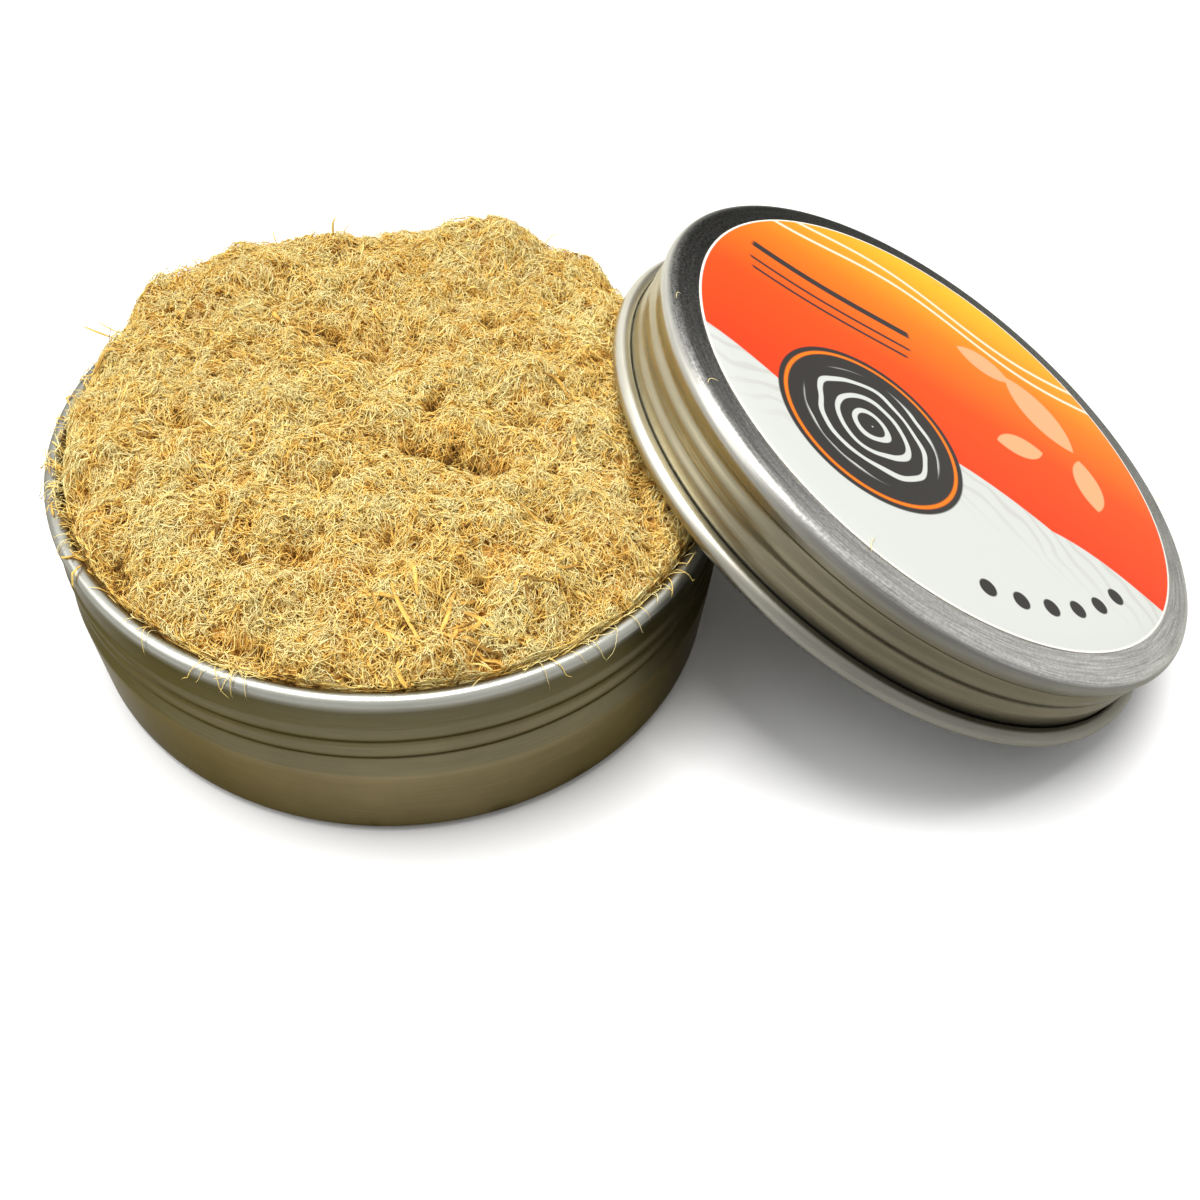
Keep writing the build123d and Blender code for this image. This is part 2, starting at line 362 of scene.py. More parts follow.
def put_mesh(name, points, quads, triangles):
    """An object at the origin, from points in millimetres and the corners of its quads and triangles."""
    mesh = bpy.data.meshes.new(name)
    quads = np.asarray(quads, dtype=np.int32).reshape(-1, 4)
    triangles = np.asarray(triangles, dtype=np.int32).reshape(-1, 3)
    corners = np.concatenate([quads.ravel(), triangles.ravel()])
    sizes = np.concatenate([np.full(len(quads), 4), np.full(len(triangles), 3)])
    mesh.vertices.add(len(points))
    mesh.vertices.foreach_set("co", (np.asarray(points) * MM).astype(np.float32).ravel())
    mesh.loops.add(len(corners))
    mesh.loops.foreach_set("vertex_index", corners)
    mesh.polygons.add(len(sizes))
    mesh.polygons.foreach_set("loop_start", (np.cumsum(sizes) - sizes).astype(np.int32))
    mesh.polygons.foreach_set("use_smooth", np.ones(len(sizes), dtype=bool))
    mesh.update(calc_edges=True)
    piece = bpy.data.objects.new(name, mesh)
    show(piece)
    return piece


def round_faces(rows, columns):
    """Faces of a closed skin of rings, row by row round the axis, with a pole point before and after."""
    ring = np.arange(columns)
    nxt = (ring + 1) % columns
    row = 1 + np.arange(rows - 1)[:, None] * columns
    quads = np.stack([row + ring, row + nxt, row + columns + nxt, row + columns + ring], axis=-1)
    end = 1 + (rows - 1) * columns
    fan_in = np.stack([np.zeros(columns, int), 1 + nxt, 1 + ring], axis=-1)
    fan_out = np.stack([np.full(columns, rows * columns + 1), end + ring, end + nxt], axis=-1)
    return quads.reshape(-1, 4), np.concatenate([fan_in, fan_out])


def turned_skin(radius, height, azimuth):
    """Points of a turned skin from its radius and height at each azimuth, with a pole at each end."""
    rings = np.stack(np.broadcast_arrays(radius * np.cos(azimuth), radius * np.sin(azimuth), height), axis=-1)
    first, last = (0, 0, rings[0, :, 2].mean()), (0, 0, rings[-1, :, 2].mean())
    return np.concatenate([[first], rings.reshape(-1, 3), [last]])


def straight(start, end, count):
    """Points along a line, without its last one."""
    t = np.linspace(0, 1, count, endpoint=False)[:, None]
    return np.asarray(start) * (1 - t) + np.asarray(end) * t


def arc(centre, radius, start, end, count):
    """Points along a circle's arc in degrees, without its last one."""
    a = np.radians(np.linspace(start, end, count, endpoint=False))
    return np.stack([centre[0] + radius * np.cos(a), centre[1] + radius * np.sin(a)], axis=-1)


def thread_rise(azimuth, height, start, foot):
    """How far the rolled thread stands off the wall: a rounded rib along a right-hand helix, which is a
    squared cosine across its width, and fades into the wall at both ends."""
    rise = np.zeros(np.broadcast(azimuth, height).shape)
    for turn in range(3):
        along = (np.degrees(azimuth) - start) % 360 + 360 * turn
        off = (height - foot - THREAD_PITCH * along / 360) / (THREAD_WIDTH / 2)
        rib = np.cos(np.clip(off, -1, 1) * pi / 2) ** 2
        ends = np.clip(np.minimum(along, 360 * THREAD_TURNS - along) / THREAD_FADE + 0.5, 0, 1)
        rise = np.maximum(rise, THREAD_DEPTH * rib * ends * ends * (3 - 2 * ends))
    return rise


def make_tin():
    """The tin as one turned skin: over the bottom, up the wall, round the rim curl, and down inside."""
    azimuth = np.linspace(0, 2 * pi, COLUMNS, endpoint=False)[None, :]
    corner = (BODY_RADIUS - BOTTOM_ROUND, BOTTOM_ROUND)
    curl = (RIM_RADIUS - RIM_CURL, TIN_HEIGHT - RIM_CURL)
    wall_in, neck_in = BODY_RADIUS - SHEET, RIM_RADIUS - SHEET
    outline = np.concatenate([
        straight((6, 0), (corner[0], 0), 4),
        arc(corner, BOTTOM_ROUND, -90, 0, 8),
        straight((BODY_RADIUS, BOTTOM_ROUND), (BODY_RADIUS, BAND_LOW - 0.2), 8),
        straight((BODY_RADIUS, BAND_LOW - 0.2), (BODY_RADIUS - 0.04, BAND_LOW + 0.12), 2),
        straight((BODY_RADIUS - 0.04, BAND_LOW + 0.12), (RIM_RADIUS + 0.04, BAND_HIGH - 0.15), 7),
        straight((RIM_RADIUS + 0.04, BAND_HIGH - 0.15), (RIM_RADIUS, BAND_HIGH + 0.15), 2),
        straight((RIM_RADIUS, BAND_HIGH + 0.15), (RIM_RADIUS, curl[1]), 62),
        arc(curl, RIM_CURL, 0, 290, 22),
        arc(curl, RIM_CURL - SHEET, 290, 0, 12),
        straight((neck_in, curl[1]), (neck_in, BAND_HIGH), 14),
        straight((neck_in, BAND_HIGH), (wall_in, BAND_LOW), 3),
        straight((wall_in, BAND_LOW), (wall_in, BOTTOM_ROUND), 3),
        arc(corner, BOTTOM_ROUND - SHEET, 0, -90, 5),
        straight((corner[0], SHEET), (6, SHEET), 3),
    ])
    radius, height = outline[:, :1], outline[:, 1:]
    on_neck = (radius > neck_in - 0.1) & (height > BAND_LOW) & (height < curl[1])
    rise = TIN_THREAD_SHARE * thread_rise(azimuth, height, TIN_THREAD_START, TIN_THREAD_HEIGHT) * on_neck
    quads, triangles = round_faces(len(outline), COLUMNS)
    return put_mesh("tin_shell", turned_skin(radius + rise, height, azimuth), quads, triangles)


def lid_turn():
    """Turns a level lid to its lean: tilted about the level line square to the way that its top faces."""
    way = Matrix.Rotation(radians(LEAN_AZIMUTH), 3, "Z")
    return way @ Matrix.Rotation(radians(LEAN_TILT), 3, "Y") @ way.transposed()


def lid_top_middle():
    """Middle of the lid's top, at the height where its lowest curl touches the ground."""
    tilt, at = radians(LEAN_TILT), radians(LID_AZIMUTH)
    height = LID_CURL + (LID_RADIUS - LID_CURL) * sin(tilt) + (LID_HEIGHT - LID_CURL) * cos(tilt)
    return np.array([LID_DISTANCE * cos(at), LID_DISTANCE * sin(at), height])


def on_lid(points):
    """Points from the level lid's own frame, with its top's middle at the origin, to where it leans."""
    return np.asarray(points) @ np.array(lid_turn()).T + lid_top_middle()


def make_lid():
    """The lid as one turned skin: over the top, down the skirt, round the open curl, and up inside."""
    azimuth = np.linspace(0, 2 * pi, COLUMNS, endpoint=False)[None, :]
    bend = (SHOULDER_RADIUS - SHOULDER_ROUND, -SHOULDER_ROUND)
    curl = (SKIRT_RADIUS - SHEET + LID_CURL, LID_CURL - LID_HEIGHT)
    skirt_in = SKIRT_RADIUS - SHEET
    outline = np.concatenate([
        straight((5, 0), (bend[0], 0), 8),
        arc(bend, SHOULDER_ROUND, 90, 0, 12),
        straight((SHOULDER_RADIUS, -SHOULDER_ROUND), (SKIRT_RADIUS, -WAIST_DEPTH), 6),
        straight((SKIRT_RADIUS, -WAIST_DEPTH), (SKIRT_RADIUS, curl[1]), 56),
        arc(curl, LID_CURL - SHEET, 180, LID_CURL_END, 16),
        arc(curl, LID_CURL, LID_CURL_END, 180, 30),
        straight((skirt_in, curl[1]), (skirt_in, -WAIST_DEPTH), 14),
        straight((skirt_in, -WAIST_DEPTH), (SHOULDER_RADIUS - SHEET, -SHOULDER_ROUND), 3),
        arc(bend, SHOULDER_ROUND - SHEET, 0, 90, 5),
        straight((bend[0], -SHEET), (5, -SHEET), 3),
    ])
    radius, height = outline[:, :1], outline[:, 1:]
    on_skirt = (radius < SKIRT_RADIUS + 0.01) & (radius > skirt_in - 0.01)
    on_skirt &= (height > curl[1]) & (height < -WAIST_DEPTH / 2)
    rise = thread_rise(azimuth, height, LID_THREAD_START, -LID_THREAD_BELOW) * on_skirt
    points = on_lid(turned_skin(radius - rise, height, azimuth))
    quads, triangles = round_faces(len(outline), COLUMNS)
    return put_mesh("lid_shell", points, quads[:, ::-1], triangles[:, ::-1])


def make_disc(name, radius, top, thickness, bend):
    """A disc of the lid with rounded edges, with its upper face at top in the lid's own frame."""
    columns = COLUMNS // 2
    azimuth = np.linspace(0, 2 * pi, columns, endpoint=False)[None, :]
    outline = np.concatenate([
        straight((radius / 20, top), (radius - bend, top), 12),
        arc((radius - bend, top - bend), bend, 90, 0, 4),
        arc((radius - bend, top - thickness + bend), bend, 0, -90, 4),
        straight((radius - bend, top - thickness), (radius / 20, top - thickness), 6),
    ])
    points = on_lid(turned_skin(outline[:, :1], outline[:, 1:], azimuth))
    quads, triangles = round_faces(len(outline), columns)
    return put_mesh(name, points, quads[:, ::-1], triangles[:, ::-1])


# The heap of tinder

def wavy(x, y, count, shortest, longest, seed):
    """A smooth random relief of about one unit: a sum of waves of many directions and lengths."""
    rng = np.random.default_rng(seed)
    length = shortest * (longest / shortest) ** rng.random(count)
    way = rng.random(count) * 2 * pi
    start = rng.random(count) * 2 * pi
    total = np.zeros(np.broadcast(x, y).shape)
    for k, across, along, phase in zip(2 * pi / length, np.cos(way), np.sin(way), start):
        total += np.cos(k * (across * x + along * y) + phase)
    return total * np.sqrt(2 / count)


def heap_level(x, y):
    """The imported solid's heap: higher at the back, a flat crown that falls off at the rim, lumps, and tufts,
    which are a sum of waves, each turned on from the last."""
    share = np.minimum(1, np.hypot(x, y) / RIM_RADIUS)
    level = TINDER_LEVEL + TINDER_BACK_RISE * y / RIM_RADIUS + TINDER_CROWN * (1 - share**6)
    for azimuth, distance, height, spread in TINDER_LUMPS:
        lump_x, lump_y = distance * cos(radians(azimuth)), distance * sin(radians(azimuth))
        level = level + height * np.exp(-((x - lump_x) ** 2 + (y - lump_y) ** 2) / spread**2)
    for wave in range(TUFT_WAVES):
        way = radians(TUFT_TURN * wave)
        length = TUFT_SPACING * (1 + TUFT_SPREAD * (wave / (TUFT_WAVES - 1) - 0.5))
        level = level + TUFT_HEIGHT * np.cos(2 * pi * (x * cos(way) + y * sin(way)) / length + wave * wave)
    return level


def heap_relief(x, y):
    """Small tufts on the heap, and the hollows of the list."""
    tufts = 0.17 * wavy(x, y, 48, 2.2, 4.6, 6)
    for hollow_x, hollow_y, depth, long, wide, way in TINDER_HOLLOWS:
        c, s = cos(radians(way)), sin(radians(way))
        along = (x - hollow_x) * c + (y - hollow_y) * s
        across = (y - hollow_y) * c - (x - hollow_x) * s
        bend = across + 0.12 * wide * np.sin(along * 1.7 + depth)
        tufts = tufts - depth * np.exp(-((along / long) ** 2) - (bend / wide) ** 2)
    return tufts


def heap_top(x, y):
    """Height of the felted surface: level plus relief, rounded off at the mouth as a quarter oval."""
    full = heap_level(x, y) - FIBRE_STAND + heap_relief(x, y)
    out = np.clip((np.hypot(x, y) - MOUTH_RADIUS + EDGE_ROUND) / EDGE_ROUND, 0, 1)
    return EDGE_HEIGHT + (full - EDGE_HEIGHT) * (1 - out**2.4) ** 0.42


def pits(x, y):
    """Over 0 in the small gaps between the fibres, where the top layers are left open."""
    return wavy(x, y, 60, 1.3, 3.4, 21) - 1.2


def under_lid(x, y, z, room):
    """z brought down below the open side of the leaning lid, by at least the room, where the lid is above."""
    normal = np.array(lid_turn())[:, 2]
    middle = lid_top_middle()
    slope = (x - middle[0]) * normal[0] + (y - middle[1]) * normal[1]
    plane = middle[2] - (slope + LID_HEIGHT + room) / normal[2]
    offset = np.stack([x - middle[0], y - middle[1], np.minimum(z, plane) - middle[2]])
    along = np.tensordot(normal, offset, 1)
    from_axis = np.sqrt(np.maximum((offset**2).sum(0) - along**2, 0))
    return np.where(from_axis < LID_RADIUS + 0.5, np.minimum(z, plane), z)


def make_tinder_mat():
    """The felted mass under the fibres: a skin over the heap, down inside the rim and over the floor."""
    columns, rows = 420, 130
    azimuth = np.linspace(0, 2 * pi, columns, endpoint=False)[None, :]
    radius = (MOUTH_RADIUS * np.linspace(0, 1, rows + 1)[1:] ** 0.85)[:, None]
    x, y = radius * np.cos(azimuth), radius * np.sin(azimuth)
    z = heap_top(x, y) - 0.75 + 0.14 * wavy(x, y, 60, 0.7, 1.6, 7) - 0.9 * np.clip(pits(x, y) + 0.2, 0, 1)
    rough = 0.25 * wavy(x, y, 40, 0.9, 2.6, 8)
    top = np.stack([x, y, under_lid(x, y, z, 1.3 + rough)], axis=-1)
    wide = RIM_RADIUS - SHEET - TINDER_GAP
    shelf = TIN_HEIGHT - 2 * RIM_CURL - TINDER_GAP
    low = SHEET + 0.05
    outline = np.concatenate([
        [(MOUTH_RADIUS, shelf - 0.1)],
        straight((MOUTH_RADIUS + 0.2, shelf - 0.2), (wide, shelf - 0.2), 2),
        straight((wide, shelf - 0.4), (wide, low + BOTTOM_ROUND), 6),
        arc((wide - BOTTOM_ROUND, low + BOTTOM_ROUND), BOTTOM_ROUND, 0, -90, 5),
        straight((wide - BOTTOM_ROUND, low), (6, low), 3),
    ])
    below = turned_skin(outline[:, :1], outline[:, 1:], azimuth)[1:]
    middle = heap_top(np.zeros(1), np.zeros(1))[0] - 0.9
    points = np.concatenate([[(0, 0, middle)], top.reshape(-1, 3), below])
    quads, triangles = round_faces(rows + len(outline), columns)
    return put_mesh("tinder_mat", points, quads[:, ::-1], triangles[:, ::-1])


def heading_field(x, y):
    """The way that neighbouring fibres tend to lie, in radians: it wanders over the heap."""
    return 1.3 * wavy(x, y, 16, 9, 24, 31) + 0.9 * wavy(x, y, 24, 3.5, 8, 32)


def cover(x, y):
    """Height of what the fibres lie on: the heap, the top of the rim's tube, then a slow fall outside it."""
    radius = np.hypot(x, y)
    tube = np.sqrt(np.clip((RIM_CURL + 0.15) ** 2 - (radius - RIM_RADIUS + RIM_CURL) ** 2, 0, None))
    outside = TIN_HEIGHT - RIM_CURL + tube - 1.2 * np.clip(radius - RIM_RADIUS - 0.15, 0, None)
    return np.where(radius < MOUTH_RADIUS - 0.1, heap_top(x, y), outside)


def reach_at(rng, x, y):
    """How far out each fibre may lie: to the mouth, or over the rim for a few, and for half at the left."""
    azimuth = np.degrees(np.arctan2(y, x)) % 360
    left = np.exp(-(((azimuth - 200) / 22) ** 4))
    share = 0.012 + 0.5 * left
    far = MOUTH_RADIUS + rng.uniform(0.3, 2.9, x.shape)
    return np.where(rng.random(x.shape) < share, far, MOUTH_RADIUS - 0.3 * rng.random(x.shape))


def lay_fibres(rng, x, y, start, length, turn, swing, depth, lift, arch, count):
    """Middle lines of fibres that lie on the heap from their roots at (x, y). Heading: start plus a steady
    turn plus a swing. Height: the cover's plus depth, a rise towards the tip and an arch in the middle. Each
    is pressed down below the lid by a room of its own."""
    fibres = len(x)
    s = np.linspace(0, 1, count)[None, :]
    phase = rng.random(fibres)[:, None] * 2 * pi
    heading = start[:, None] + turn[:, None] * s + swing[:, None] * np.sin(2.2 * pi * s + phase)
    step = (length / (count - 1))[:, None]
    px = x[:, None] + np.cumsum(np.cos(heading), axis=1) * step
    py = y[:, None] + np.cumsum(np.sin(heading), axis=1) * step
    limit = reach_at(rng, x, y)[:, None]
    pull = np.minimum(1, limit / np.maximum(np.hypot(px, py), 0.01))
    px, py = px * pull, py * pull
    over = np.clip(np.hypot(px, py) - MOUTH_RADIUS + 0.6, 0, 1)
    down = depth[:, None] * (1 - over)
    pz = cover(px, py) + down + lift[:, None] * s**1.6 + arch[:, None] * np.sin(pi * s)
    room = 0.45 + 1.3 * rng.random((fibres, 1)) ** 1.5
    return np.stack([px, py, under_lid(px, py, pz, room)], axis=-1)


def fibre_mesh(name, paths, radius, tone, flat=1.0, sides=3):
    """Thin closed tubes along the paths, tapered to a point at both ends, and flat for shavings. A corner is
    its path point plus radius times the cosine and sine round two directions square to the path, with a side
    of the tube on top. Tone is given for each path point. The map gives each tube a small square."""
    fibres, count = paths.shape[:2]
    rings = count - 2
    each = rings * sides + 2
    along = np.gradient(paths, axis=1)
    along /= np.linalg.norm(along, axis=2, keepdims=True) + 1e-9
    lean = (np.random.default_rng(fibres).random((fibres, 1, 3)) - 0.5) * 0.7
    across = np.cross(lean + np.array([0, 0, 1.0]), along)
    across /= np.linalg.norm(across, axis=2, keepdims=True) + 1e-9
    other = np.cross(along, across)
    taper = np.sin(pi * np.linspace(0, 1, count)[1:-1]) ** 0.35
    angle = pi / 2 + (np.arange(sides) - 0.5) * 2 * pi / sides
    ring = np.cos(angle)[:, None] * across[:, 1:-1, None]
    ring = ring + flat * np.sin(angle)[:, None] * other[:, 1:-1, None]
    ring = paths[:, 1:-1, None] + ring * (radius[:, None] * taper)[:, :, None, None]
    points = np.concatenate([paths[:, :1], ring.reshape(fibres, -1, 3), paths[:, -1:]], axis=1)

    k = np.arange(sides)
    nxt = (k + 1) % sides
    row = 1 + np.arange(rings - 1)[:, None] * sides
    quads = np.stack([row + k, row + nxt, row + sides + nxt, row + sides + k], axis=-1).reshape(-1, 4)
    end = 1 + (rings - 1) * sides
    tips = np.concatenate([
        np.stack([np.zeros(sides, int), 1 + nxt, 1 + k], axis=-1),
        np.stack([np.full(sides, each - 1), end + k, end + nxt], axis=-1),
    ])
    base = (np.arange(fibres) * each)[:, None, None]
    piece = put_mesh(name, points.reshape(-1, 3), quads[None] + base, tips[None] + base)
    shades = np.concatenate([tone[:, :1], np.repeat(tone[:, 1:-1], sides, axis=1), tone[:, -1:]], axis=1)
    shade = piece.data.attributes.new("tone", "FLOAT", "POINT")
    shade.data.foreach_set("value", np.clip(shades, 0, 1).astype(np.float32).ravel())

    down = np.arange(rings - 1)[:, None] + np.zeros(sides)
    left = k / sides + np.zeros((rings - 1, 1))
    quad_u = np.stack([left, left + 1 / sides, left + 1 / sides, left], axis=-1).reshape(-1)
    quad_v = np.stack([down + 1, down + 1, down + 2, down + 2], axis=-1).reshape(-1) / (rings + 1)
    tip_u = np.stack([(k + 0.5) / sides, (k + 1) / sides, k / sides], axis=-1)
    tip_v = np.array([0, 1, 1]) / (rings + 1) + np.zeros((sides, 1))
    end_u = np.stack([(k + 0.5) / sides, k / sides, (k + 1) / sides], axis=-1)
    tips_u = np.concatenate([tip_u, end_u]).reshape(-1)
    tips_v = np.concatenate([tip_v, 1 - tip_v]).reshape(-1)
    cells = int(np.ceil(np.sqrt(fibres)))
    cell_x, cell_y = np.arange(fibres) % cells, np.arange(fibres) // cells
    u = np.concatenate([(cell_x[:, None] + 0.1 + 0.8 * m).ravel() for m in (quad_u, tips_u)]) / cells
    v = np.concatenate([(cell_y[:, None] + 0.1 + 0.8 * m).ravel() for m in (quad_v, tips_v)]) / cells
    layer = piece.data.uv_layers.new(name="OFBake")
    layer.uv.foreach_set("vector", np.stack([u, v], axis=-1).astype(np.float32).ravel())
    return piece


def tone_and_painted_shade(x, y):
    """Slow changes of the fibres' own tone over the heap, with painted shade in the hollows and in the gaps
    between fibres, and a little painted light on the tufts.
    """
    slow = 0.06 * wavy(x, y, 12, 8, 20, 41) + 0.06 * wavy(x, y, 20, 2.5, 6, 42)
    return slow + 0.4 * np.clip(heap_relief(x, y), -2.2, 0.4) - 0.42 * np.clip(pits(x, y) + 0.3, 0, 1.5)


def spread_over_heap(rng, count, open_share):
    """Random spots on the heap, which leave a share of the pits open."""
    radius = (MOUTH_RADIUS + 0.2) * np.sqrt(rng.random(3 * count))
    azimuth = rng.random(3 * count) * 2 * pi
    x, y = radius * np.cos(azimuth), radius * np.sin(azimuth)
    keep = np.flatnonzero((pits(x, y) < 0) | (rng.random(3 * count) > open_share))[:count]
    return x[keep], y[keep]


def make_tangle(name, seed, count, length, width, depth, arch, tone, open_share):
    """A layer of single fibres that lie every way and leave a share of the pits open."""
    rng = np.random.default_rng(seed)
    x, y = spread_over_heap(rng, count, open_share)
    lengths = length * np.exp(rng.normal(0, 0.38, count))
    lift = 0.9 * np.maximum(rng.normal(-0.6, 0.8, count), 0)
    paths = lay_fibres(rng, x, y, rng.random(count) * 2 * pi, lengths, rng.normal(0, 1.6, count),
                       rng.normal(0, 0.5, count), depth + rng.normal(0, 0.2, count), lift,
                       arch * rng.random(count) ** 1.5, LAYER_POINTS)
    tones = tone + tone_and_painted_shade(paths[..., 0], paths[..., 1]) + rng.normal(0, 0.1, (count, 1))
    return fibre_mesh(name, paths, width / 2 * np.exp(rng.normal(0, 0.3, count)), tones)


def make_tufts(name, seed, tufts, each, length, width, depth, lift, tone):
    """Tufts of fibres that start together, fan out round one way, tangle and rise to their tips, with painted
    shade at the roots and painted light towards the tips.
    """
    rng = np.random.default_rng(seed)
    x, y = spread_over_heap(rng, tufts, 0.85)
    way = heading_field(x, y) + rng.normal(0, 0.8, tufts)
    size = length * np.exp(rng.normal(0, 0.28, tufts))
    bend = rng.normal(0, 0.7, tufts)
    rise = lift * rng.uniform(0.3, 1.3, tufts)
    shade = tone + rng.normal(0, 0.1, tufts)
    of = np.repeat(np.arange(tufts), each)
    count = len(of)
    spread = 0.26 * size[of]
    lengths = size[of] * rng.uniform(0.45, 1.1, count)
    root_x = x[of] + rng.normal(0, 1, count) * spread
    root_y = y[of] + rng.normal(0, 1, count) * spread
    paths = lay_fibres(rng, root_x, root_y,
                       way[of] + rng.normal(0, 0.95, count), lengths, bend[of] + rng.normal(0, 0.9, count),
                       rng.normal(0, 0.4, count), depth + rng.normal(0, 0.22, count),
                       rise[of] * rng.uniform(0.2, 1.2, count), rng.uniform(0, 0.4, count), LAYER_POINTS)
    s = np.linspace(0, 1, LAYER_POINTS)[None, :]
    # Painted light and shade along each fibre: darker at the root, paler towards the tip
    tones = (shade[of] + rng.normal(0, 0.12, count))[:, None] + 0.32 * s**0.8 - 0.17
    tones = tones + tone_and_painted_shade(paths[..., 0], paths[..., 1])
    return fibre_mesh(name, paths, width / 2 * np.exp(rng.normal(0, 0.3, count)), tones)


def make_shavings():
    """Broader flat curled shavings, most of them at the front right, a few all over the heap."""
    rng = np.random.default_rng(61)
    near, scattered, reach, points = 46, 40, 34, 10
    x = np.concatenate([14.5 + rng.normal(0, 5.0, near), rng.uniform(-reach, reach, scattered)])
    y = np.concatenate([-31.2 + rng.normal(0, 2.2, near), rng.uniform(-reach, reach, scattered)])
    keep = np.hypot(x, y) < MOUTH_RADIUS - 2.5
    x, y = x[keep], y[keep]
    count = len(x)
    paths = lay_fibres(rng, x, y, rng.random(count) * 2 * pi, rng.uniform(2.5, 6.5, count),
                       rng.normal(0, 0.5, count), rng.normal(0, 0.25, count), rng.uniform(-0.15, 0.15, count),
                       0.9 * rng.random(count) ** 2, rng.uniform(0.05, 0.4, count), points)
    tones = rng.uniform(0.12, 0.44, count)[:, None] + 0.1 * np.sin(np.linspace(0, 5, points))
    return fibre_mesh("shavings", paths, rng.uniform(0.14, 0.4, count), tones, 0.2, 4)


def make_rim_fibres():
    """Single fibres that lie across the rim, with their tips hanging outside it."""
    rng = np.random.default_rng(71)
    azimuth = np.radians(np.concatenate([
        rng.normal(257, 2.5, 45), rng.normal(305, 2, 16), rng.uniform(312, 352, 60), rng.uniform(0, 360, 60),
    ]))
    count = len(azimuth)
    radius = MOUTH_RADIUS - rng.uniform(0.2, 1.8, count)
    way = azimuth + rng.normal(0, 0.75, count)
    s = np.linspace(0, 1, STRAY_POINTS)[None, :]
    heading = way[:, None] + rng.normal(0, 2.8, count)[:, None] * s
    step = (rng.uniform(1.8, 4.4, count) / (STRAY_POINTS - 1))[:, None]
    x = (radius * np.cos(azimuth))[:, None] + np.cumsum(np.cos(heading), axis=1) * step
    y = (radius * np.sin(azimuth))[:, None] + np.cumsum(np.sin(heading), axis=1) * step
    limit = RIM_RADIUS + 0.45
    pull = np.minimum(1, limit / np.hypot(x, y))
    droop = rng.uniform(0, 1.3, count)[:, None] * np.clip(np.hypot(x, y) / limit - 0.995, 0, None) / 0.005
    x, y = x * pull, y * pull
    arch = 0.3 * np.sin(pi * s) * rng.random((count, 1))
    z = cover(x, y) + 0.1 - np.cumsum(droop, axis=1) * 0.12 + arch
    tones = rng.uniform(0.6, 1.0, count)[:, None] + np.zeros(STRAY_POINTS)
    return fibre_mesh("rim_fibres", np.stack([x, y, z], axis=-1), rng.uniform(0.035, 0.06, count), tones)


def make_splinters():
    """Splinters that stand out of the heap: straight but for a small bow, from a root to a raised tip."""
    spots = np.array(SPLINTERS)
    x, y, length, rise = spots[:, 0], spots[:, 1], spots[:, 3], spots[:, 4]
    way = np.radians(spots[:, 2])
    s = np.linspace(0, 1, STRAY_POINTS)[None, :]
    bow = 0.3 * np.sin(pi * s)
    px = x[:, None] + np.cos(way)[:, None] * length[:, None] * s - np.sin(way)[:, None] * bow
    py = y[:, None] + np.sin(way)[:, None] * length[:, None] * s + np.cos(way)[:, None] * bow
    pz = heap_top(x, y)[:, None] + rise[:, None] * s + 0.2 * np.sin(pi * s)
    tones = np.full((len(spots), STRAY_POINTS), SPLINTER_TONE)
    return fibre_mesh("splinters", np.stack([px, py, pz], axis=-1), spots[:, 5] / 2, tones, 0.5)


def make_lid_strays():
    """A few fine fibres that fell on the lid, in the lid's own frame: bent threads that lie just on it."""
    rng = np.random.default_rng(81)
    spots = np.array([(-32.7, -17.6), (-21.9, 31.0), (37.4, 6.6), (-14.0, -30.5), (6.0, 33.5), (-37.8, -4.5)])
    count = len(spots)
    s = np.linspace(0, 1, STRAY_POINTS)[None, :]
    heading = rng.random((count, 1)) * 2 * pi + rng.normal(0, 1.6, (count, 1)) * s
    step = rng.uniform(1.6, 3.4, (count, 1)) / (STRAY_POINTS - 1)
    x = spots[:, :1] + np.cumsum(np.cos(heading), axis=1) * step
    y = spots[:, 1:] + np.cumsum(np.sin(heading), axis=1) * step
    z = LABEL_THICKNESS + 0.1 + 0.25 * np.sin(pi * s) * rng.random((count, 1))
    paths = on_lid(np.stack([x, y, z], axis=-1))
    return fibre_mesh("lid_strays", paths, np.full(count, 0.05), np.full(x.shape, 0.95))


# Materials

def new_material(name):
    """A material with a Principled shader; returns the material, its net and the shader."""
    material = bpy.data.materials.new(name)
    material.use_nodes = True
    net = Net(material.node_tree)
    return material, net, net.nodes["Principled BSDF"]


def make_drawn_grain():
    """A node group for the marks of drawing and spinning: streaks round the axis, as noise on the direction
    and on radius minus height, a fine frosted noise, and a mask of upright dent marks, as noise on the
    direction, by which the tin is darkened as painted shade. It also gives the height and the shares of the
    side and front directions."""
    group = bpy.data.node_groups.new("drawn_grain", "ShaderNodeTree")
    group.interface.new_socket(name="Vector", in_out="INPUT", socket_type="NodeSocketVector")
    for label in ("Streaks", "Frost", "Height", "Side", "Front", "Dent_shade"):
        group.interface.new_socket(name=label, in_out="OUTPUT", socket_type="NodeSocketFloat")
    place = group.nodes.new("NodeGroupInput").outputs["Vector"]
    end = group.nodes.new("NodeGroupOutput")
    net = Net(group)
    x, y, z = net.split(place)
    radius = net.math("SQRT", net.math("ADD", net.product(x, x), net.product(y, y)))
    safe = net.math("MAXIMUM", radius, 0.001)
    side, front = net.math("DIVIDE", x, safe), net.math("DIVIDE", y, safe)
    across = net.product(net.math("SUBTRACT", radius, z), 5000.0)
    wrapped = net.join(net.product(side, 6.0), net.product(front, 6.0), across)
    around = net.join(net.product(side, 14.0), net.product(front, 14.0), net.product(z, 60.0))
    dent_shade = net.fall(net.noise(around, 1.0, 1.0), 0.56, 0.72)
    results = (net.noise(wrapped, 1.0, 3.0, 0.6), net.noise(place, 2600.0, 2.0, 0.7), z, side, front, dent_shade)
    for value, socket in zip(results, end.inputs):
        net.feed(value, socket)
    return group


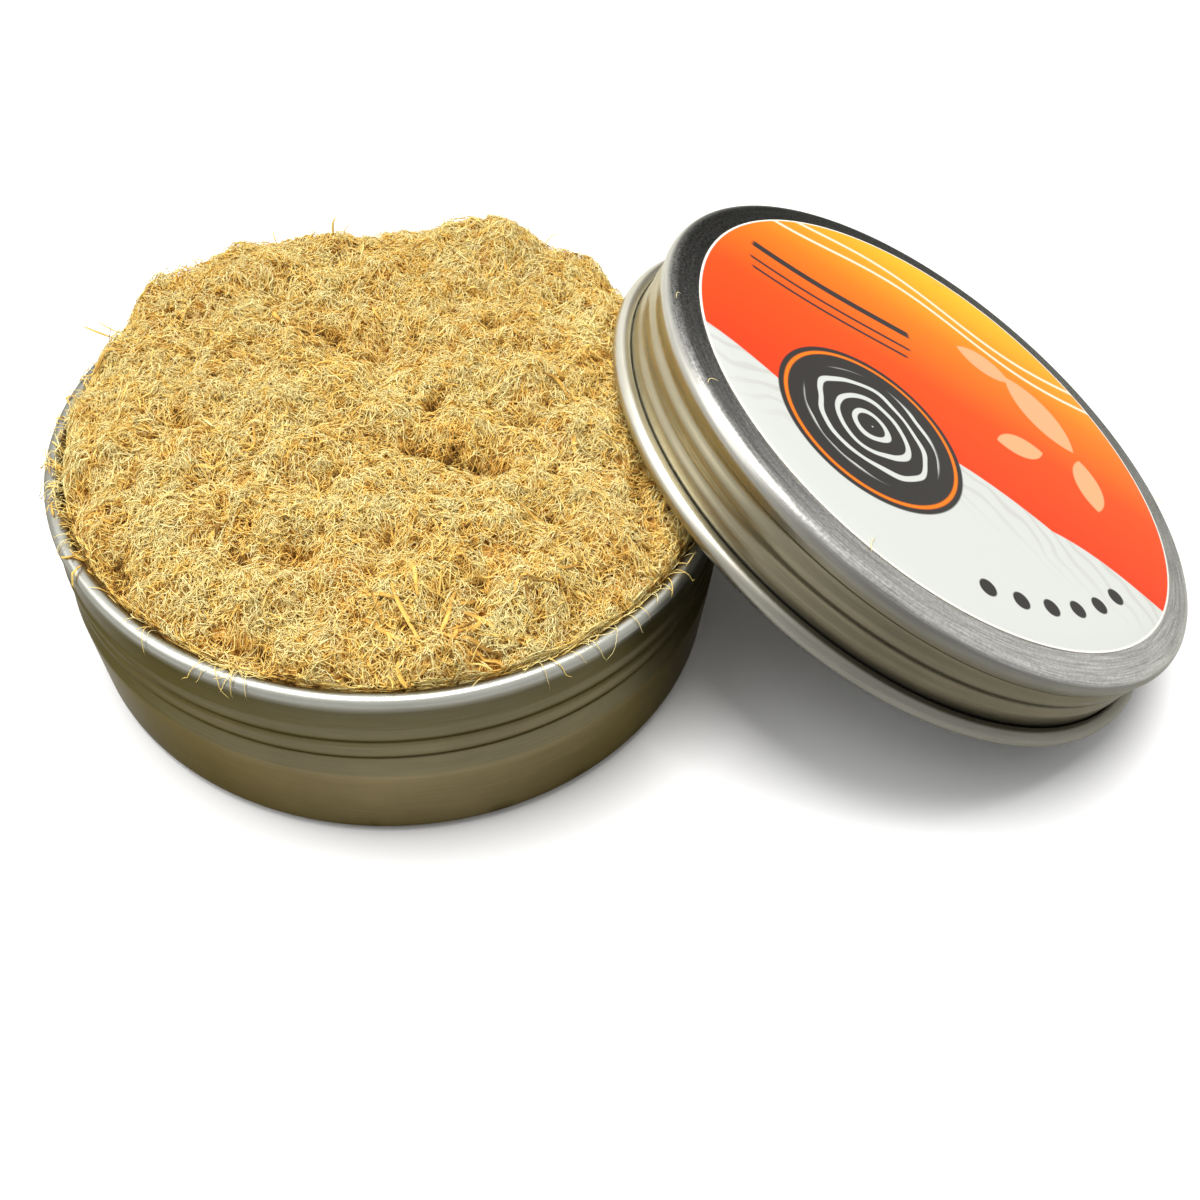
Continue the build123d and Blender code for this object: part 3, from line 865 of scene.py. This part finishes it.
def sheet_metal(name, grain, leaning, tones, shade, back, rough, edge_tint):
    """Satin drawn aluminium with streaks round the axis. Its tone runs up the wall through the given stops,
    which hold painted reflection and painted highlight. It has painted shade: darker on the side that shade
    points to (shares of the side and front directions, and how deep), and at the back by the share of back.
    The tin has dark upright dent marks at its foot as painted shade, with no dent in its shape; the lid has a
    brushed ring on top, whose tone is a painted reflection."""
    material, net, shader = new_material(name)
    place = net.object_place(leaning)
    skin = net.new("Group")
    skin.node_tree = grain
    net.feed(place, skin.inputs["Vector"])
    streaks, frost, height, side, front, dent_shade = skin.outputs
    # The tone stops hold painted reflection and painted highlight
    low, high = tones[0][0], tones[-1][0]
    share = net.math("DIVIDE", net.math("SUBTRACT", height, low * MM), (high - low) * MM)
    tone = net.ramp(share, *[((z - low) / (high - low), colour) for z, colour in tones])
    # Painted shade: darker towards the side that shade points to, and at the back by the share of back
    toward = net.math("ADD", net.product(side, shade[0]), net.product(front, shade[1]))
    painted_side_shade = net.math("MULTIPLY_ADD", net.fall(toward, -1.0, 0.4), -shade[2], 1.0)
    painted_back_shade = net.math("MULTIPLY_ADD", net.fall(front, 0.2, 0.9), -back, 1.0)
    clouds = net.math("MULTIPLY_ADD", net.noise(place, 70.0, 4.0, 0.6), 0.5, 0.75)
    dim = net.product(painted_side_shade, painted_back_shade, clouds, net.math("MULTIPLY_ADD", streaks, 0.5, 0.75))
    if not leaning:
        # Painted shade of dents: dark upright marks near the foot of the tin
        foot = net.fall(height, (low + 3.5) * MM, (low + 0.5) * MM)
        dim = net.product(dim, net.math("MULTIPLY_ADD", net.product(dent_shade, foot), -0.5, 1.0))
    tone = net.blend(1.0, tone, net.join(dim), "MULTIPLY")
    if leaning:
        # The ring's tone is a painted reflection: dark on one side of the ring and light on the other
        lit = net.math("MULTIPLY_ADD", side, RING_LIT[0], net.product(front, RING_LIT[1]))
        level = net.math("MULTIPLY_ADD", net.fall(lit, -1.0, 2.0), *RING_REFLECTION)
        frosted = net.math("MULTIPLY_ADD", frost, RING_FROST, level)
        brushed = net.product(frosted, net.math("MULTIPLY_ADD", streaks, *RING_BRUSHING))
        ring = net.blend(1.0, RING_TONE, net.join(brushed), "MULTIPLY")
        tone = net.blend(net.fall(height, -0.9 * MM, -0.25 * MM), tone, ring)
    roughness, normal = net.math("MULTIPLY_ADD", frost, 0.1, rough), net.bump(streaks, 0.00001, 0.3)
    net.wear(shader, Base_Color=tone, Metallic=1.0, Specular_Tint=(*edge_tint, 1), Roughness=roughness,
             Normal=normal)
    return material


def tinder_material(name, rough, *stops):
    """Dry wood fibre: each fibre has a tone between the stops, which is its own tone with painted shade and
    painted light in it, with a soft change along it.
    """
    material, net, shader = new_material(name)
    tone = net.new("Attribute")
    tone.attribute_name = "tone"
    place = net.object_place(False)
    spread = net.math("MULTIPLY_ADD", net.noise(place, 900.0, 2.0), 0.3, -0.15)
    value = net.math("ADD", tone.outputs["Fac"], spread)
    net.wear(shader, Base_Color=net.ramp(value, *stops), Roughness=rough, Specular_IOR_Level=0.2)
    return material


def felt_material(name):
    """The felted mass in the gaps: golden with dark spots that are painted shade of holes, and a rough skin.
    """
    material, net, shader = new_material(name)
    place = net.object_place(False)
    fine = net.noise(place, 1100.0, 3.0, 0.7)
    colour = net.ramp(fine, (0.36, (0.14, 0.06, 0.01)), (0.5, (0.85, 0.44, 0.08)), (0.8, (1.0, 0.72, 0.24)))
    net.wear(shader, Base_Color=colour, Roughness=0.85, Normal=net.bump(fine, 0.0003, 0.9))
    return material


def foam_material(name):
    """White closed-cell foam: pale, with fine cells."""
    material, net, shader = new_material(name)
    place = net.object_place(False)
    cells = net.noise(place, 1800.0, 2.0)
    colour = net.ramp(cells, (0.3, (0.78, 0.78, 0.75)), (0.7, (0.9, 0.9, 0.88)))
    net.wear(shader, Base_Color=colour, Roughness=0.8, Normal=net.bump(cells, 0.0001, 0.6))
    return material


def print_material(name):
    """The sticker: an amber to red ground with pale waves, dark sweeps and a sprig of leaves, a pale lower
    field with two low hills, grain lines and dots, a dark round seal of growth rings, and a thin edge."""
    material, net, shader = new_material(name)
    sums, paint, fall = net.math, net.blend, net.fall
    place = net.object_place(True)
    turn = net.new("Mapping")
    turn.inputs["Rotation"].default_value = (0, 0, radians(8))
    turn.inputs["Scale"].default_value = [1 / (LABEL_RADIUS * MM)] * 3
    net.feed(place, turn.inputs["Vector"])
    flat = turn.outputs["Vector"]
    p, q, _ = net.split(flat)

    def away_from(x, y):
        a, b = sums("SUBTRACT", p, x), sums("SUBTRACT", q, y)
        return sums("SQRT", sums("ADD", net.product(a, a), net.product(b, b)))

    def wave(rate, phase, height, level):
        return sums("MULTIPLY_ADD", sums("SINE", sums("MULTIPLY_ADD", p, rate, phase)), height, level)

    def within(distance, reach):
        return fall(distance, reach + SOFT, reach - SOFT)

    def stroke(distance, half):
        return within(sums("ABSOLUTE", distance), half)

    def leaf(x, y, way, size):
        aside_x, aside_y = 0.8 * size * cos(radians(way + 90)), 0.8 * size * sin(radians(way + 90))
        sides = away_from(x + aside_x, y + aside_y), away_from(x - aside_x, y - aside_y)
        return within(sums("MAXIMUM", *sides), 1.28 * size)

    colour = net.ramp(sums("MULTIPLY_ADD", q, 0.5, 0.5), *GROUND)
    for level in (0.66, 0.74):
        line = sums("SUBTRACT", q, wave(5.0, 4 * level, 0.05, level))
        colour = paint(stroke(line, 0.01), colour, CREAM)
    # Sprig of leaves at the right
    for spot in LEAVES:
        colour = paint(leaf(*spot), colour, PEACH)
    # Pale field below two low hills, with grain lines
    hills = sums("MAXIMUM", wave(2.6, 1.5, 0.13, -0.4), wave(4.1, -0.6, 0.09, -0.42))
    below = sums("SUBTRACT", hills, q)
    bend = net.product(net.noise(flat, 2.6), 30.0)
    rings = sums("SINE", sums("MULTIPLY_ADD", away_from(-0.35, -1.3), 84.0, bend))
    grain_lines = net.product(fall(rings, 0.2, 0.9), fall(below, 0.3, 0.05), 0.6)
    colour = paint(fall(below, -SOFT, SOFT), colour, paint(grain_lines, PALE, PALE_GRAIN))
    # Dark sweep with two thinner ones under it, at the left
    short = fall(away_from(-0.5, 0.3), 0.36, 0.34)
    for level, half in SWEEPS:
        line = sums("SUBTRACT", q, wave(4.2, 1.1, 0.03, level))
        colour = paint(net.product(stroke(line, half), short), colour, DARK)
    # Seal: a dark disc with a thin ring and growth rings, low at the left
    away = away_from(*SEAL)
    colour = paint(within(away, 0.36), colour, DARK)
    colour = paint(stroke(sums("SUBTRACT", away, 0.332), 0.007), colour, ORANGE)
    wobble = net.product(net.noise(flat, 2.4), 0.16)
    growth = sums("SINE", net.product(sums("ADD", away, wobble), 96.0))
    colour = paint(net.product(fall(growth, 0.45, 0.75), fall(away, 0.27, 0.255)), colour, PALE)
    # Arc of dots along the lower edge
    angle = sums("ARCTAN2", q, p)
    step = radians(DOT_STEP)
    aside = net.product(sums("WRAP", angle, step / 2, -step / 2), DOT_RING)
    out = sums("SUBTRACT", away_from(0, 0), DOT_RING)
    dot = sums("SQRT", sums("ADD", net.product(aside, aside), net.product(out, out)))
    part = net.product(fall(angle, radians(-86), radians(-85)), fall(angle, radians(-31), radians(-32)))
    colour = paint(net.product(fall(dot, 0.036, 0.03), part), colour, DARK)
    # Thin edge
    colour = paint(fall(away_from(0, 0), 0.99, 0.994), colour, EDGE_TONE)
    normal = net.bump(net.noise(place, 700.0, 2.0), 0.00002, 0.25)
    net.wear(shader, Base_Color=colour, Roughness=0.55, Specular_IOR_Level=0.12, Normal=normal)
    return material


def dress(piece, material, body, slot, *nodes):
    """Gives a piece its material and the body it moves with, and hides the solids it stands for. The slot is
    not used.
    """
    piece.data.materials.clear()
    piece.data.materials.append(material)
    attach(piece, body)
    if nodes:
        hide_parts(*nodes)


# The scene

bpy.context.scene.view_settings.view_transform = "Standard"
set_camera()
set_stage()

grain = make_drawn_grain()
# shade and back paint shade on the metal by direction; the tone stops hold painted reflection
tin_metal = sheet_metal("tin_aluminium", grain, False, TIN_TONES, shade=(0.0, 1.0, 0.2), back=0.0,
                        rough=0.27, edge_tint=(0.42, 0.4, 0.34))
lid_metal = sheet_metal("lid_aluminium", grain, True, LID_TONES, shade=(0.8, -0.6, 0.8), back=0.55,
                        rough=0.3, edge_tint=(0.7, 0.7, 0.65))
straw = tinder_material("wood_fibre", 0.7, (0.0, (0.1, 0.048, 0.01)), (0.2, (0.5, 0.27, 0.055)),
                        (0.42, (1.0, 0.62, 0.135)), (0.66, (1.0, 0.74, 0.22)), (1.0, (1.0, 0.87, 0.42)))

dress(make_tin(), tin_metal, "tin", "tin_metal", "tin_base")
dress(make_lid(), lid_metal, "lid", "lid_metal", "tin_lid")
foam = make_disc("lid_foam", LINER_RADIUS, -SHEET - LINER_GAP, LINER_THICKNESS, 0.3)
dress(foam, foam_material("white_foam"), "liner", "liner_foam", "lid_liner")
label = make_disc("label_disc", LABEL_RADIUS, LABEL_THICKNESS, LABEL_THICKNESS, 0.05)
dress(label, print_material("label_print"), "lid", "label_paper", "lid_label")
dress(make_tinder_mat(), felt_material("felted_fibre"), "tin", "tinder", "tinder_fill")

# The deeper layers are given darker tones and the fluff on top the palest: painted shade and painted light by
# depth
# Layers of single fibres: name, seed, count, length, width, depth, arch, tone, share of pits left open
LAYERS = (
    ("tangle_deep", 11, 11000, 3.2, 0.17, -0.55, 0.2, 0.56, 0.6),
    ("tangle_fluff", 16, 11000, 1.4, 0.08, 0.12, 0.45, 1.0, 0.9),
)
for layer in LAYERS:
    dress(make_tangle(*layer), straw, "tin", "tinder")
# Here too the deeper layers have darker tones, as painted shade
# Layers of tufts: name, seed, tufts, fibres each, length, width, depth, lift, tone
TUFT_LAYERS = (
    ("tufts_low", 21, 440, 25, 3.3, 0.14, -0.35, 0.4, 0.7),
    ("tufts_middle", 22, 500, 22, 2.9, 0.12, -0.2, 0.5, 0.74),
    ("tufts_upper", 23, 610, 18, 2.5, 0.1, -0.1, 0.55, 0.79),
    ("tufts_top", 24, 780, 14, 2.1, 0.085, 0.0, 0.65, 0.84),
)
for layer in TUFT_LAYERS:
    dress(make_tufts(*layer), straw, "tin", "tinder")
for make_piece in (make_shavings, make_rim_fibres, make_splinters):
    dress(make_piece(), straw, "tin", "tinder")
dress(make_lid_strays(), straw, "lid", "tinder")
